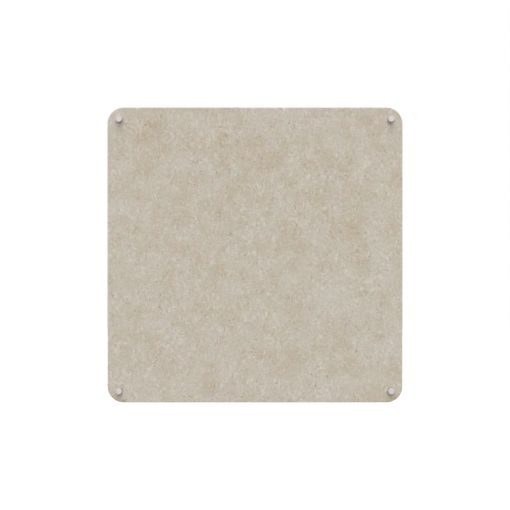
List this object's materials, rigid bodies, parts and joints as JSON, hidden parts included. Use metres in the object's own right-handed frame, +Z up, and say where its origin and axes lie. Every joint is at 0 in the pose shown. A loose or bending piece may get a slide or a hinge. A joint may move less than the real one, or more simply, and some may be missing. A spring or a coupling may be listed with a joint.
{
  "type": "pinboard",
  "caption": "Square felt pinboard with round corners, held clear of the wall by a turned standoff with a satin cap at each corner.",
  "frame": {"origin": "centre of the board's outline, in the plane of the wall, which the four barrels' back faces rest on", "axes": "+Z up along the wall, +Y from the room into the wall and square to the felt, +X to the right as seen from the room; the felt's pinning face looks along -Y"},
  "size_m": [0.75, 0.0786, 0.75],
  "materials": {
    "felt": "matte",
    "satin_aluminium": "satin",
    "soft_plastic": "matte",
    "zinc_steel": "satin",
    "nylon": "matte"
  },
  "bodies": {
    "root": {"felt_board": "felt", "cap_top_left": "satin_aluminium", "cap_top_right": "satin_aluminium", "cap_bottom_left": "satin_aluminium", "cap_bottom_right": "satin_aluminium", "front_washer_top_left": "soft_plastic", "front_washer_top_right": "soft_plastic", "front_washer_bottom_left": "soft_plastic", "front_washer_bottom_right": "soft_plastic", "rear_washer_top_left": "soft_plastic", "rear_washer_top_right": "soft_plastic", "rear_washer_bottom_left": "soft_plastic", "rear_washer_bottom_right": "soft_plastic", "barrel_top_left": "satin_aluminium", "barrel_top_right": "satin_aluminium", "barrel_bottom_left": "satin_aluminium", "barrel_bottom_right": "satin_aluminium", "wall_screw_top_left": "zinc_steel", "wall_screw_top_right": "zinc_steel", "wall_screw_bottom_left": "zinc_steel", "wall_screw_bottom_right": "zinc_steel", "wall_plug_top_left": "nylon", "wall_plug_top_right": "nylon", "wall_plug_bottom_left": "nylon", "wall_plug_bottom_right": "nylon"}
  },
  "joints": []
}
